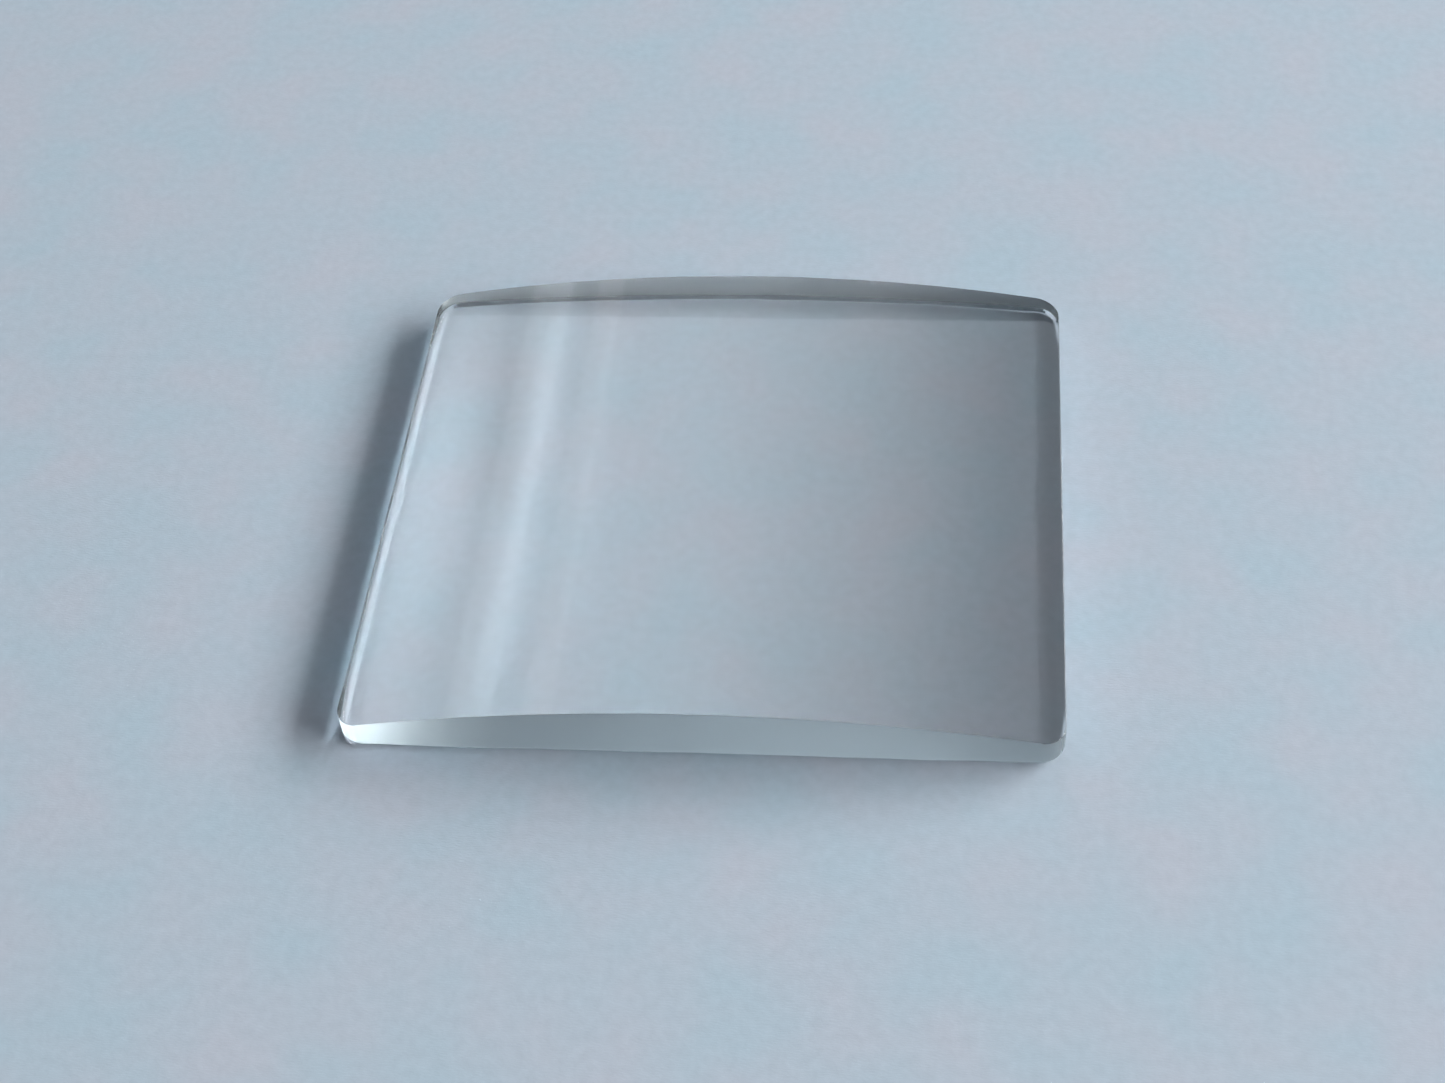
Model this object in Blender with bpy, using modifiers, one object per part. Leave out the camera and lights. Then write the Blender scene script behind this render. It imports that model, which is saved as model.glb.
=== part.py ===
"""Rectangular wristwatch crystal: one piece of clear mineral glass, flat underneath and curved on top.

The top is part of a cylinder, so the glass is thickest along the middle and arches from its left
edge to its right edge. The underside and all four side walls are flat. Metres, +Z up. The origin
is the middle of the underside, +X runs across the arch, +Y runs along it.
"""

import math

import bmesh
import bpy
from mathutils import Matrix

# Driving dimensions, in metres.
WIDTH = 0.0300
LENGTH = 0.0270
EDGE_THICKNESS = 0.00125
CENTRE_THICKNESS = 0.00270
CORNER_RADIUS = 0.0011
UPPER_ARRIS = 0.00010
LOWER_ARRIS = 0.00020

# How finely the round stretches are divided.
CORNER_SEGMENTS = 8
DOME_SEGMENTS = 1440
ARRIS_SEGMENTS = 2

# A Boolean cutter reaches past the glass by this much, so that no faces coincide.
CUT_MARGIN = 0.002
# Points of the blank nearer than this are one point.
WELD_DISTANCE = 1e-7
# Walls meet the top and the underside at about a right angle, and the other edges are far flatter.
SHARP_ANGLE = math.radians(50)
SMOOTH_ANGLE = math.radians(25)

GLASS_COLOUR = (0.93, 0.97, 0.96, 1.0)
GLASS_IOR = 1.52


def clear_scene():
    """Removes whatever objects the open scene holds."""
    for item in list(bpy.data.objects):
        bpy.data.objects.remove(item, do_unlink=True)


def new_collection(name):
    """Adds an empty collection to the scene."""
    collection = bpy.data.collections.new(name)
    bpy.context.scene.collection.children.link(collection)
    return collection


def dome_radius():
    """Radius of the arch that rises from the edge thickness to the centre thickness."""
    rise = CENTRE_THICKNESS - EDGE_THICKNESS
    half = WIDTH / 2
    return (half * half + rise * rise) / (2 * rise)


def rounded_rectangle(width, length, radius):
    """Corner points of a rectangle with round corners, anticlockwise."""
    points = []
    for quarter in range(4):
        side_x = 1 if quarter in (0, 3) else -1
        side_y = 1 if quarter in (0, 1) else -1
        centre_x = side_x * (width / 2 - radius)
        centre_y = side_y * (length / 2 - radius)
        for step in range(CORNER_SEGMENTS + 1):
            angle = math.radians(90) * (quarter + step / CORNER_SEGMENTS)
            points.append((centre_x + radius * math.cos(angle), centre_y + radius * math.sin(angle)))
    return points


def glass_blank(height):
    """A flat plate with the crystal's outline, from its underside at z = 0 up to the given height."""
    curve = bpy.data.curves.new("blank_outline", "CURVE")
    curve.dimensions = "2D"
    curve.fill_mode = "BOTH"
    curve.extrude = height / 2
    outline = rounded_rectangle(WIDTH, LENGTH, CORNER_RADIUS)
    spline = curve.splines.new("POLY")
    spline.points.add(len(outline) - 1)
    for point, (x, y) in zip(spline.points, outline):
        point.co = (x, y, 0, 1)
    spline.use_cyclic_u = True

    drawing = bpy.data.objects.new("blank_outline", curve)
    bpy.context.scene.collection.objects.link(drawing)
    bpy.context.view_layer.update()
    depsgraph = bpy.context.evaluated_depsgraph_get()
    mesh = bpy.data.meshes.new_from_object(drawing.evaluated_get(depsgraph))
    bpy.data.objects.remove(drawing, do_unlink=True)
    bpy.data.curves.remove(curve)

    plate = bmesh.new()
    plate.from_mesh(mesh)
    bmesh.ops.remove_doubles(plate, verts=plate.verts, dist=WELD_DISTANCE)
    bmesh.ops.translate(plate, vec=(0, 0, height / 2), verts=plate.verts)
    bmesh.ops.recalc_face_normals(plate, faces=plate.faces)
    plate.to_mesh(mesh)
    plate.free()
    return mesh


def dome_cutter(collection):
    """The cylinder, lying along Y, whose upper side is the crystal's curved top."""
    radius = dome_radius()
    mesh = bpy.data.meshes.new("dome_cylinder")
    lying = Matrix.Rotation(math.radians(90), 4, "X")
    cylinder = bmesh.new()
    bmesh.ops.create_cone(
        cylinder,
        cap_ends=True,
        segments=DOME_SEGMENTS,
        radius1=radius,
        radius2=radius,
        depth=LENGTH + 2 * CUT_MARGIN,
        matrix=lying,
    )
    cylinder.to_mesh(mesh)
    cylinder.free()
    cutter = bpy.data.objects.new("dome_cylinder", mesh)
    cutter.location = (0, 0, CENTRE_THICKNESS - radius)
    cutter.hide_render = True
    cutter.display_type = "WIRE"
    collection.objects.link(cutter)
    return cutter


def glass_material():
    """Clear polished glass."""
    material = bpy.data.materials.new("clear_glass")
    material.use_nodes = True
    shader = material.node_tree.nodes["Principled BSDF"]
    shader.inputs["Base Color"].default_value = GLASS_COLOUR
    shader.inputs["Roughness"].default_value = 0.02
    shader.inputs["Metallic"].default_value = 0.0
    shader.inputs["IOR"].default_value = GLASS_IOR
    shader.inputs["Transmission Weight"].default_value = 1.0
    return material


def mark_arrises(mesh):
    """Weights the rims that get a polished bevel: the lower rim for one width, the upper for another."""
    mesh.attributes.new("bevel_weight_edge", "FLOAT", "EDGE")
    shape = bmesh.new()
    shape.from_mesh(mesh)
    layer = shape.edges.layers.float["bevel_weight_edge"]
    widest = max(UPPER_ARRIS, LOWER_ARRIS)
    for edge in shape.edges:
        if len(edge.link_faces) != 2 or edge.calc_face_angle() < SHARP_ANGLE:
            continue
        highest = max(vertex.co.z for vertex in edge.verts)
        width = LOWER_ARRIS if highest < EDGE_THICKNESS / 2 else UPPER_ARRIS
        edge[layer] = width / widest
    shape.to_mesh(mesh)
    shape.free()


def domed_plate(blank, cutter, collection):
    """The blank with its top ground to the cylinder."""
    rough = bpy.data.objects.new("ground_blank", blank)
    collection.objects.link(rough)
    grind = rough.modifiers.new("grind_dome", "BOOLEAN")
    grind.operation = "INTERSECT"
    grind.object = cutter
    bpy.context.view_layer.update()
    depsgraph = bpy.context.evaluated_depsgraph_get()
    mesh = bpy.data.meshes.new_from_object(rough.evaluated_get(depsgraph))
    bpy.data.objects.remove(rough, do_unlink=True)
    return mesh


def build_crystal(parts, cutters):
    """The glass itself."""
    blank = glass_blank(CENTRE_THICKNESS + CUT_MARGIN)
    cutter = dome_cutter(cutters)
    mesh = domed_plate(blank, cutter, cutters)
    mesh.name = "crystal"
    mark_arrises(mesh)
    mesh.materials.clear()
    mesh.materials.append(glass_material())
    mesh.shade_smooth()
    mesh.set_sharp_from_angle(angle=SMOOTH_ANGLE)

    crystal = bpy.data.objects.new("crystal", mesh)
    parts.objects.link(crystal)
    arris = crystal.modifiers.new("polished_arris", "BEVEL")
    arris.limit_method = "WEIGHT"
    arris.offset_type = "OFFSET"
    arris.width = max(UPPER_ARRIS, LOWER_ARRIS)
    arris.segments = ARRIS_SEGMENTS
    arris.use_clamp_overlap = False


clear_scene()
watch_crystal = new_collection("watch_crystal")
cutting_shapes = new_collection("cutting_shapes")
build_crystal(watch_crystal, cutting_shapes)
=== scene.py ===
"""A rectangular wristwatch crystal lying on pale paper in soft window light.

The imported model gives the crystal's outer box. This script builds a finer glass of that size in its
place, with a true curved top, ground walls and small hand-worked bevels, then adds the paper, the
lights and the camera. Metres, +Z up. The underside is at z = 0, +X runs across the arch, +Y along it.
"""

import math

import bmesh
import bpy
from mathutils import Matrix, Vector, noise


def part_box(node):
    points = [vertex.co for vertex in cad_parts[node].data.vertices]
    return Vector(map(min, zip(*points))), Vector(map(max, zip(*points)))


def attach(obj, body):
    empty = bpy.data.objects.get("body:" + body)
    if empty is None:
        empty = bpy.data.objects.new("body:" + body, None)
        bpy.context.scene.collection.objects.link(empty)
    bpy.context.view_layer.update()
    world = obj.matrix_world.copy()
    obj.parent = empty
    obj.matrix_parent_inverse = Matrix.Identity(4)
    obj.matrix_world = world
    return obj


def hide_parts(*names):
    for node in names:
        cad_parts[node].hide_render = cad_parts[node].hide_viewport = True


MM = 0.001

# The glass. Its width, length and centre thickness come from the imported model. A corner's curve and a
# side's straight are divided into so many steps, and the dome into strips of the given width.
EDGE_THICKNESS = 1.25 * MM
CORNER_RADIUS = 1.1 * MM
CORNER_STEPS = 24
SIDE_STEPS = 40
DOME_STRIP = 0.11 * MM

# The rounded bevels along the rims, and how much the lower one's width wanders along the way.
LOWER_END_ARRIS = 0.30 * MM
LOWER_SIDE_ARRIS = 0.03 * MM
UPPER_ARRIS = 0.03 * MM
ARRIS_TAPER = 2 * MM
ARRIS_STEPS = 4
ARRIS_WANDER = 0.25
ARRIS_WANDER_LENGTH = 3 * MM

# The absorption colour and density give the glass its faint blue-green depth. The density is per metre.
GLASS_IOR = 1.52
ABSORPTION_COLOUR = (0.79, 0.83, 0.84)
ABSORPTION_DENSITY = 45.0

# The least and greatest roughness of the polish, and the mean roughness of each kind of ground wall.
POLISHED = (0.04, 0.07)
GROUND_ENDS = 0.48
GROUND_SIDES = 0.03
GROUND_PATCHES = (0.9, 1.1)
# A ground wall scatters a little light, so it is less clear than the polish and takes on more colour.
GROUND_CLEAR = 0.92
GROUND_COLOUR = (0.88, 0.96, 1.0)
# How large the patches and grains of each finish are, how deep its relief is, and how far the grain is
# drawn out along each axis.
FINISH_PATCH = 2 * MM
FINISH_DETAIL = 3.0
GRAIN_DETAIL = 2.0
POLISH_GRAIN = 4 * MM
POLISH_RELIEF = 0.00015 * MM
GRIND_GRAIN = 0.03 * MM
GRIND_RELIEF = 0.0002 * MM
GRIND_STRETCH = (6, 6, 1)
# Noise mostly lies between these two values, which become the ends of whatever range it drives.
NOISE_RANGE = (0.3, 0.7)
# Upright faces are ground. So are the bevels, which lean, except where they turn the corners. These are
# the sizes of the upward and the lesser sideways part of a face's normal.
WALL_LEAN = 0.3
WALL_STEEPNESS = 0.9
CORNER_TURN = 0.2

# The paper lies this far below the underside, as a real sheet touches only here and there.
PAPER_GAP = 0.02 * MM
PAPER_SIZE = 3000 * MM
PAPER_ROUGHNESS = 0.9
PAPER_SHEEN = 0.1
PAPER_COOL = (0.420, 0.527, 0.607)
PAPER_WARM = (0.472, 0.516, 0.590)
PAPER_CLOUD = 5 * MM
CLOUD_DETAIL = 2.0
PAPER_FLECK = 0.5 * MM
PAPER_FLECK_SHADE = (0.965, 1.035)
PAPER_FIBRE = 0.08 * MM
FIBRE_STRETCH = (3, 1, 1)
FIBRE_DETAIL = 4.0
PAPER_RELIEF = 0.006 * MM

# The lights. A direction is an azimuth from +X towards +Y and an elevation, in degrees. Brightness is in
# watts per square metre of light, sizes and distances are in metres.
WINDOW_DIRECTION = (9, 23)
WINDOW_DISTANCE = 1.2
WINDOW_SIZE = (1.80, 0.42)
WINDOW_BRIGHTNESS = 46.0
PALE_WALL_DIRECTION = (15, 38)
PALE_WALL_SIZE = (1.80, 0.40)
PALE_WALL_BRIGHTNESS = 2.5

# Two ceiling tubes parallel to Y: how far each is to the side, its width and its brightness.
NEAR_TUBE = (-0.340, 0.060, 2.6)
FAR_TUBE = (-0.256, 0.035, 2.2)
TUBE_HEIGHT = 0.6
TUBE_BACK = 0.63
TUBE_LENGTH = 0.45

# The room: a glow behind, full within its core and gone by its reach, over a weak light from all round
# that brightens towards the horizon. The horizon's height is the upward part of a direction.
GLOW_DIRECTION = (108, 45)
GLOW_CORE = math.radians(14)
GLOW_REACH = math.radians(28)
GLOW_BRIGHTNESS = 0.85
AMBIENT_BRIGHTNESS = 0.11
HORIZON_BRIGHTNESS = 0.5
HORIZON_HEIGHT = 0.45
ROOM_COLOUR = (0.95, 1.0, 1.05)

# The camera looks down at a point near the middle of the glass.
CAMERA_AIM = (0.07 * MM, -1.43 * MM, 0.0)
CAMERA_DISTANCE = 103.8 * MM
CAMERA_PITCH = math.radians(46.6)
CAMERA_YAW = math.radians(8.77)
CAMERA_ROLL = math.radians(-5.35)
CAMERA_LENS = 58.2
CAMERA_SENSOR = 36.0
CAMERA_CLIP = 1 * MM

# Light turns many times inside thick glass before it leaves.
GLASS_BOUNCES = 24
MIRROR_BOUNCES = 12


def principled(material, **values):
    """Sets sockets of a material's Principled shader by name, with _ for a space."""
    shader = material.node_tree.nodes["Principled BSDF"]
    for name, value in values.items():
        shader.inputs[name.replace("_", " ")].default_value = value
    return shader


def node_material(name):
    """A new material with nodes."""
    material = bpy.data.materials.new(name)
    material.use_nodes = True
    return material


def add_node(tree, kind, **values):
    """Adds a node and sets its plain attributes and its sockets, which are given by name."""
    node = tree.nodes.new(kind)
    for name, value in values.items():
        if hasattr(node, name):
            setattr(node, name, value)
        else:
            node.inputs[name.replace("_", " ")].default_value = value
    return node


def half_outline(width, length):
    """The outline from the right side round the rear to the left side, as points with normals."""
    corner_x, corner_y = width / 2 - CORNER_RADIUS, length / 2 - CORNER_RADIUS
    right = [((width / 2, corner_y * step / SIDE_STEPS), (1, 0)) for step in range(1, SIDE_STEPS)]
    for step in range(CORNER_STEPS + 1):
        turn = math.radians(90) * step / CORNER_STEPS
        across, along = math.cos(turn), math.sin(turn)
        place = (corner_x + CORNER_RADIUS * across, corner_y + CORNER_RADIUS * along)
        right.append((place, (across, along)))
    left = [((-x, y), (-across, along)) for (x, y), (across, along) in reversed(right)]
    strips = 2 * round(corner_x / DOME_STRIP)
    rear = [((corner_x * (1 - 2 * step / strips), length / 2), (0, 1)) for step in range(1, strips)]
    return right + rear + left


def outline(width, length):
    """Points and outward normals all round, anticlockwise. The front mirrors the rear."""
    rear = half_outline(width, length)
    front = [((x, -y), (across, -along)) for (x, y), (across, along) in reversed(rear)]
    return [(Vector((*place, 0)), Vector((*normal, 0))) for place, normal in rear + front]


def lower_arris(place, length):
    """Width of the lower bevel: broad under the end walls and corners, slight along the sides.

    It wanders a little along the way, as hand work does.
    """
    past_corner = length / 2 - CORNER_RADIUS - abs(place.y)
    share = min(max(past_corner / ARRIS_TAPER, 0), 1)
    width = LOWER_END_ARRIS + (LOWER_SIDE_ARRIS - LOWER_END_ARRIS) * share
    return width * (1 + ARRIS_WANDER * noise.noise(place / ARRIS_WANDER_LENGTH))


def fill_ring(shape, ring):
    """Closes a ring with strips from its front to its rear, as the dome's straight lines run that way."""
    half = len(ring) // 2
    shape.faces.new(ring[:SIDE_STEPS + 1] + ring[-SIDE_STEPS - 1:])
    shape.faces.new(ring[half - SIDE_STEPS - 1:half + SIDE_STEPS + 1])
    for rear in range(SIDE_STEPS, half - SIDE_STEPS - 1):
        front = len(ring) - 1 - rear
        shape.faces.new((ring[rear], ring[rear + 1], ring[front - 1], ring[front]))


def lower_rings(shape, places, length):
    """Rings of points that turn from the underside up into the wall."""
    rings = []
    for step in range(ARRIS_STEPS, -1, -1):
        turn = math.radians(90) * step / ARRIS_STEPS
        ring = []
        for place, normal in places:
            bevel = lower_arris(place, length)
            point = place - normal * bevel * (1 - math.cos(turn))
            point.z = bevel * (1 - math.sin(turn))
            ring.append(shape.verts.new(point))
        rings.append(ring)
    return rings


def upper_rings(shape, places, width, thickness):
    """Rings of points that turn from the wall into the dome, which is part of a cylinder along Y."""
    rise = thickness - EDGE_THICKNESS
    radius = ((width / 2) ** 2 + rise ** 2) / (2 * rise)
    rings = []
    for step in range(ARRIS_STEPS + 1):
        turn = math.radians(90) * step / ARRIS_STEPS
        ring = []
        for place, normal in places:
            point = place - normal * UPPER_ARRIS * (1 - math.cos(turn))
            dome = thickness - radius + math.sqrt(radius ** 2 - point.x ** 2)
            point.z = dome - UPPER_ARRIS * (1 - math.sin(turn))
            ring.append(shape.verts.new(point))
        rings.append(ring)
    return rings


def with_flats_leading(mesh):
    """The mesh, smooth, with normals that follow its large faces, so that the flats look flat."""
    mesh.shade_smooth()
    draft = bpy.data.objects.new("draft", mesh)
    bpy.context.scene.collection.objects.link(draft)
    draft.modifiers.new("flat_faces_lead", "WEIGHTED_NORMAL")
    bpy.context.view_layer.update()
    finished = draft.evaluated_get(bpy.context.evaluated_depsgraph_get())
    smooth = bpy.data.meshes.new_from_object(finished)
    bpy.data.objects.remove(draft, do_unlink=True)
    return smooth


def crystal_mesh(width, length, thickness):
    """The glass: rings up the lower bevel, the wall and the upper bevel, closed below and above."""
    places = outline(width, length)
    shape = bmesh.new()
    rings = lower_rings(shape, places, length) + upper_rings(shape, places, width, thickness)
    for low, high in zip(rings, rings[1:]):
        for here in range(len(low)):
            shape.faces.new((low[here - 1], low[here], high[here], high[here - 1]))
    fill_ring(shape, rings[0])
    fill_ring(shape, rings[-1])
    bmesh.ops.recalc_face_normals(shape, faces=shape.faces)
    mesh = bpy.data.meshes.new("glass")
    shape.to_mesh(mesh)
    shape.free()
    return with_flats_leading(mesh)


def speckle(tree, coordinates, size, detail, stretch=(1, 1, 1)):
    """Noise with features of about the given size, in metres. It can be drawn out along an axis."""
    placed = add_node(tree, "ShaderNodeMapping")
    placed.inputs["Scale"].default_value = [1 / (size * length) for length in stretch]
    pattern = add_node(tree, "ShaderNodeTexNoise", Scale=1.0, Detail=detail)
    tree.links.new(coordinates, placed.inputs["Vector"])
    tree.links.new(placed.outputs["Vector"], pattern.inputs["Vector"])
    return pattern.outputs["Fac"]


def between(tree, amount, lowest, highest):
    """Turns a noise value into one between two others."""
    span = add_node(tree, "ShaderNodeMapRange", To_Min=lowest, To_Max=highest)
    span.inputs["From Min"].default_value, span.inputs["From Max"].default_value = NOISE_RANGE
    tree.links.new(amount, span.inputs["Value"])
    return span.outputs["Result"]


def rough_surface(tree, height, relief, shader):
    """Feeds a height pattern to a shader as a bump of the given relief, in metres."""
    bump = add_node(tree, "ShaderNodeBump", Strength=1.0, Distance=relief)
    tree.links.new(height, bump.inputs["Height"])
    tree.links.new(bump.outputs["Normal"], shader.inputs["Normal"])


def glass(name, grain, relief, stretch, **values):
    """Clear mineral glass with a bumpy finish. Returns its material, shader and coordinates."""
    material = node_material(name)
    shader = principled(material, IOR=GLASS_IOR, **values)
    tree = material.node_tree
    place = add_node(tree, "ShaderNodeTexCoord").outputs["Object"]
    rough_surface(tree, speckle(tree, place, grain, GRAIN_DETAIL, stretch), relief, shader)
    colour = (*ABSORPTION_COLOUR, 1)
    tint = add_node(tree, "ShaderNodeVolumeAbsorption", Color=colour, Density=ABSORPTION_DENSITY)
    tree.links.new(tint.outputs["Volume"], tree.nodes["Material Output"].inputs["Volume"])
    return material, shader, place


def polished_glass():
    """The finish of the dome and the underside: clear, with the slight unevenness of handled glass."""
    material, shader, place = glass(
        "polished_glass",
        POLISH_GRAIN,
        POLISH_RELIEF,
        (1, 1, 1),
        Base_Color=(1, 1, 1, 1),
        Transmission_Weight=1.0,
    )
    tree = material.node_tree
    finish = speckle(tree, place, FINISH_PATCH, FINISH_DETAIL)
    tree.links.new(between(tree, finish, *POLISHED), shader.inputs["Roughness"])
    return material


def ground_glass(half_length):
    """The finish of the walls: coarser on the ends than on the sides, and blended round the corners."""
    material, shader, place = glass(
        "ground_glass",
        GRIND_GRAIN,
        GRIND_RELIEF,
        GRIND_STRETCH,
        Base_Color=(*GROUND_COLOUR, 1),
        Transmission_Weight=GROUND_CLEAR,
    )
    tree = material.node_tree
    axes = add_node(tree, "ShaderNodeSeparateXYZ")
    tree.links.new(place, axes.inputs["Vector"])
    towards_end = add_node(tree, "ShaderNodeMath", operation="ABSOLUTE")
    tree.links.new(axes.outputs["Y"], towards_end.inputs[0])
    finish = add_node(
        tree,
        "ShaderNodeMapRange",
        interpolation_type="SMOOTHSTEP",
        From_Min=half_length - CORNER_RADIUS,
        From_Max=half_length,
        To_Min=GROUND_SIDES,
        To_Max=GROUND_ENDS,
    )
    tree.links.new(towards_end.outputs["Value"], finish.inputs["Value"])
    patchy = add_node(tree, "ShaderNodeMath", operation="MULTIPLY")
    tree.links.new(finish.outputs["Result"], patchy.inputs[0])
    patches = speckle(tree, place, FINISH_PATCH, FINISH_DETAIL)
    tree.links.new(between(tree, patches, *GROUND_PATCHES), patchy.inputs[1])
    tree.links.new(patchy.outputs["Value"], shader.inputs["Roughness"])
    return material


def build_crystal():
    """The crystal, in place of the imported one."""
    low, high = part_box("crystal")
    size = high - low
    mesh = crystal_mesh(size.x, size.y, size.z)
    mesh.transform(Matrix.Translation(((low.x + high.x) / 2, (low.y + high.y) / 2, low.z)))
    mesh.materials.append(polished_glass())
    mesh.materials.append(ground_glass(size.y / 2))
    for face in mesh.polygons:
        across, along, up = (abs(part) for part in face.normal)
        if up < WALL_LEAN or (up < WALL_STEEPNESS and min(across, along) < CORNER_TURN):
            face.material_index = 1
    crystal = bpy.data.objects.new("watch_crystal", mesh)
    bpy.context.scene.collection.objects.link(crystal)
    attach(crystal, "root")
    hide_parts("crystal")


def paper_material():
    """Smooth uncoated paper: fine fibres and faint cloudiness, a touch warmer here and cooler there."""
    material = node_material("pale_paper")
    shader = principled(material, Roughness=PAPER_ROUGHNESS, Specular_IOR_Level=PAPER_SHEEN)
    tree = material.node_tree
    place = add_node(tree, "ShaderNodeTexCoord").outputs["Object"]
    cloud = between(tree, speckle(tree, place, PAPER_CLOUD, CLOUD_DETAIL), 0.0, 1.0)
    shade = add_node(tree, "ShaderNodeMix", data_type="RGBA")
    shade.inputs["A"].default_value = (*PAPER_COOL, 1)
    shade.inputs["B"].default_value = (*PAPER_WARM, 1)
    tree.links.new(cloud, shade.inputs["Factor"])
    fleck = between(tree, speckle(tree, place, PAPER_FLECK, FIBRE_DETAIL), *PAPER_FLECK_SHADE)
    toned = add_node(tree, "ShaderNodeVectorMath", operation="SCALE")
    tree.links.new(shade.outputs["Result"], toned.inputs["Vector"])
    tree.links.new(fleck, toned.inputs["Scale"])
    tree.links.new(toned.outputs["Vector"], shader.inputs["Base Color"])
    fibres = speckle(tree, place, PAPER_FIBRE, FIBRE_DETAIL, FIBRE_STRETCH)
    rough_surface(tree, fibres, PAPER_RELIEF, shader)
    return material


def build_paper():
    """A large sheet of pale blue-grey paper under the glass."""
    shape = bmesh.new()
    bmesh.ops.create_grid(shape, x_segments=1, y_segments=1, size=PAPER_SIZE / 2)
    mesh = bpy.data.meshes.new("paper")
    shape.to_mesh(mesh)
    shape.free()
    mesh.materials.append(paper_material())
    paper = bpy.data.objects.new("paper", mesh)
    paper.location.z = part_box("crystal")[0].z - PAPER_GAP
    bpy.context.scene.collection.objects.link(paper)


def direction(azimuth, elevation):
    """A unit vector. Both angles are in degrees, the azimuth from +X towards +Y."""
    turn, lift = math.radians(azimuth), math.radians(elevation)
    return Vector((math.cos(turn) * math.cos(lift), math.sin(turn) * math.cos(lift), math.sin(lift)))


def area_light(name, width, height, brightness):
    """A rectangular light that shines down, as its own object, and isn't itself seen."""
    lamp = bpy.data.lights.new(name, "AREA")
    lamp.shape = "RECTANGLE"
    lamp.size = width
    lamp.size_y = height
    lamp.energy = brightness * width * height
    light = bpy.data.objects.new(name, lamp)
    light.visible_camera = False
    bpy.context.scene.collection.objects.link(light)
    return light


def soft_light(name, place, size, brightness):
    """A rectangular light that faces the glass."""
    light = area_light(name, *size, brightness)
    facing = (-place).to_track_quat("-Z", "Y").to_matrix().to_4x4()
    light.matrix_world = Matrix.Translation(place) @ facing


def ceiling_tube(name, offset, width, brightness):
    """A long narrow light overhead and behind, at a sideways offset from the glass."""
    light = area_light(name, width, TUBE_LENGTH, brightness)
    light.location = (offset, TUBE_BACK, TUBE_HEIGHT)


def build_room():
    """Weak light from all round, a pale horizon and a broad soft glow behind that shines on the dome."""
    world = bpy.data.worlds.new("room")
    bpy.context.scene.world = world
    world.use_nodes = True
    tree = world.node_tree
    towards = add_node(tree, "ShaderNodeTexCoord").outputs["Generated"]

    near_glow = add_node(tree, "ShaderNodeVectorMath", operation="DOT_PRODUCT")
    near_glow.inputs[1].default_value = direction(*GLOW_DIRECTION)
    tree.links.new(towards, near_glow.inputs[0])
    glow = add_node(tree, "ShaderNodeMapRange", interpolation_type="SMOOTHSTEP")
    glow.inputs["From Min"].default_value = math.cos(GLOW_REACH)
    glow.inputs["From Max"].default_value = math.cos(GLOW_CORE)
    glow.inputs["To Max"].default_value = GLOW_BRIGHTNESS
    tree.links.new(near_glow.outputs["Value"], glow.inputs["Value"])

    height = add_node(tree, "ShaderNodeSeparateXYZ")
    tree.links.new(towards, height.inputs["Vector"])
    horizon = add_node(tree, "ShaderNodeMapRange", interpolation_type="SMOOTHSTEP")
    horizon.inputs["From Max"].default_value = HORIZON_HEIGHT
    horizon.inputs["To Min"].default_value = HORIZON_BRIGHTNESS
    horizon.inputs["To Max"].default_value = AMBIENT_BRIGHTNESS
    tree.links.new(height.outputs["Z"], horizon.inputs["Value"])

    total = add_node(tree, "ShaderNodeMath", operation="ADD")
    tree.links.new(glow.outputs["Result"], total.inputs[0])
    tree.links.new(horizon.outputs["Result"], total.inputs[1])
    background = tree.nodes["Background"]
    background.inputs["Color"].default_value = (*ROOM_COLOUR, 1)
    tree.links.new(total.outputs["Value"], background.inputs["Strength"])


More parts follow.
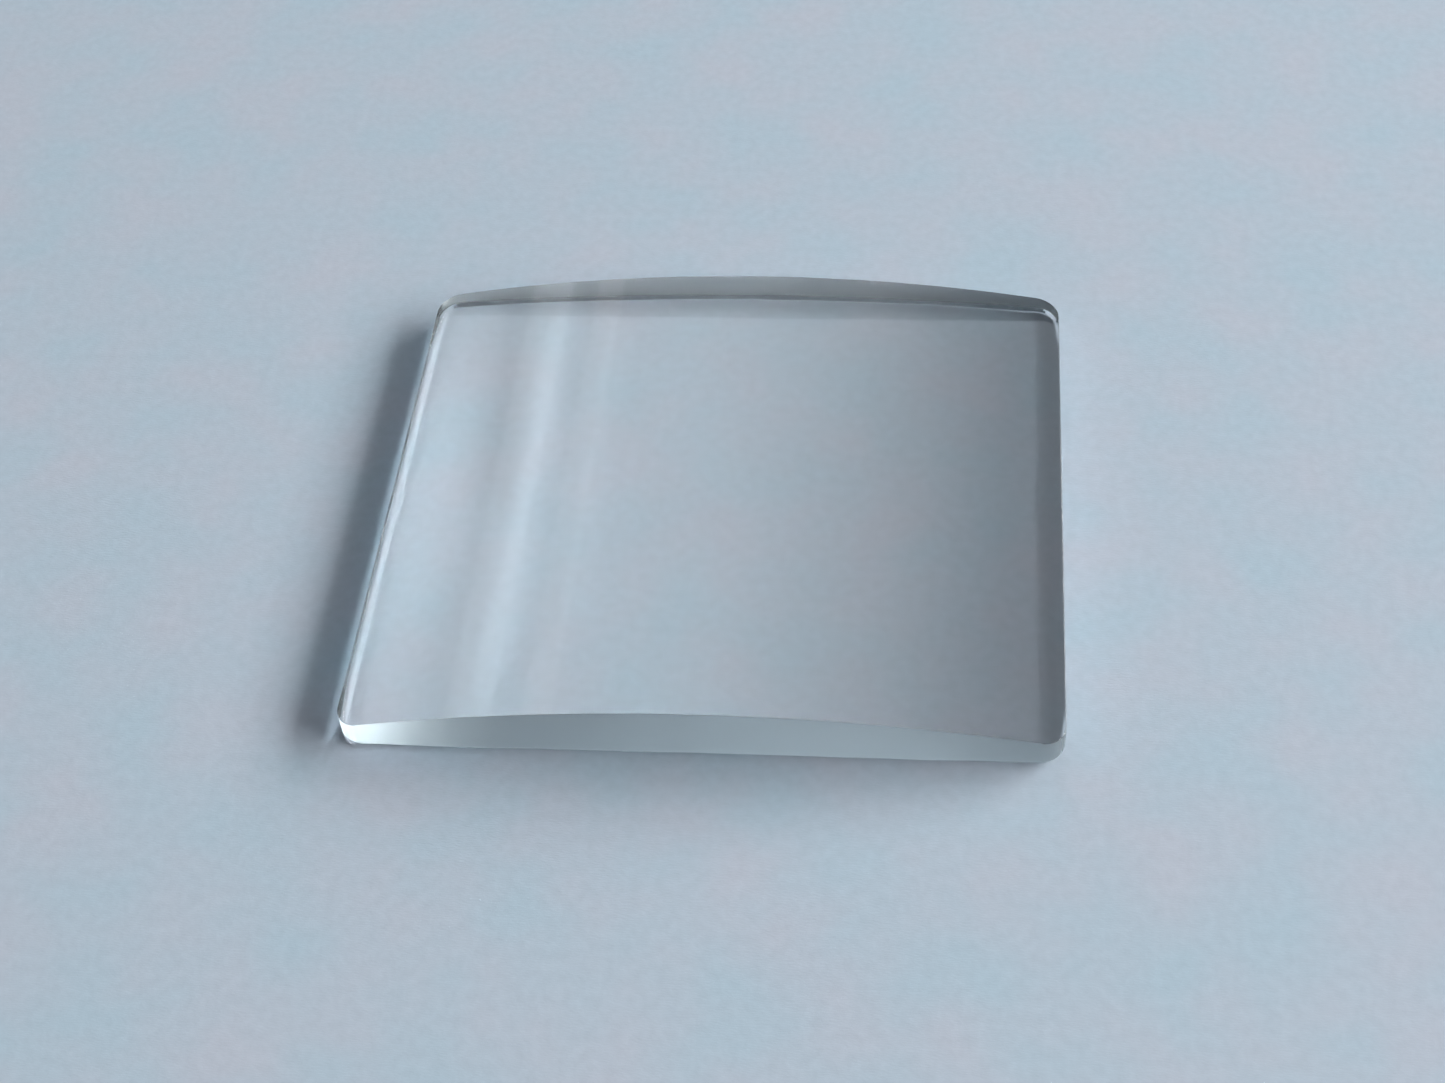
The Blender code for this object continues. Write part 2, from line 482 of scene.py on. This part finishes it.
def build_light():
    """Window light from the right, two ceiling tubes whose reflections streak the dome, and the room."""
    window = direction(*WINDOW_DIRECTION) * WINDOW_DISTANCE
    pale_wall = direction(*PALE_WALL_DIRECTION) * WINDOW_DISTANCE
    soft_light("window", window, WINDOW_SIZE, WINDOW_BRIGHTNESS)
    soft_light("wall_above_window", pale_wall, PALE_WALL_SIZE, PALE_WALL_BRIGHTNESS)
    ceiling_tube("near_tube", *NEAR_TUBE)
    ceiling_tube("far_tube", *FAR_TUBE)
    build_room()


def build_camera():
    """A camera above the front of the glass, a little to its right and slightly rolled."""
    level, down = math.cos(CAMERA_PITCH), math.sin(CAMERA_PITCH)
    forward = Vector((-math.sin(CAMERA_YAW) * level, math.cos(CAMERA_YAW) * level, -down))
    across = Vector((math.cos(CAMERA_YAW), math.sin(CAMERA_YAW), 0))
    upright = Matrix((across, across.cross(forward), -forward)).transposed()
    data = bpy.data.cameras.new("camera")
    data.lens = CAMERA_LENS
    data.sensor_width = CAMERA_SENSOR
    data.clip_start = CAMERA_CLIP
    camera = bpy.data.objects.new("camera", data)
    place = Matrix.Translation(Vector(CAMERA_AIM) - forward * CAMERA_DISTANCE)
    camera.matrix_world = place @ upright.to_4x4() @ Matrix.Rotation(CAMERA_ROLL, 4, "Z")
    bpy.context.scene.collection.objects.link(camera)
    bpy.context.scene.camera = camera


def set_glass_rendering():
    """Lets light take the many turns it takes inside thick glass, and keeps its full strength."""
    scene = bpy.context.scene
    scene.cycles.max_bounces = GLASS_BOUNCES
    scene.cycles.transmission_bounces = GLASS_BOUNCES
    scene.cycles.glossy_bounces = MIRROR_BOUNCES
    scene.cycles.sample_clamp_indirect = 0
    scene.cycles.blur_glossy = 0
    scene.cycles.use_denoising = True
    scene.view_settings.view_transform = "Standard"


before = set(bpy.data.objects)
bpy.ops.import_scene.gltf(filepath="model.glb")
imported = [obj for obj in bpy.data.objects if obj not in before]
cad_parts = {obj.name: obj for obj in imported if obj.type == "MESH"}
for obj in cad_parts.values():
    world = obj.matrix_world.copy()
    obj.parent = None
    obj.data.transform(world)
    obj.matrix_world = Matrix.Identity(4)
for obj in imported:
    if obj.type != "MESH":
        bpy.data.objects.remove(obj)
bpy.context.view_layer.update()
build_crystal()
build_paper()
build_light()
build_camera()
set_glass_rendering()
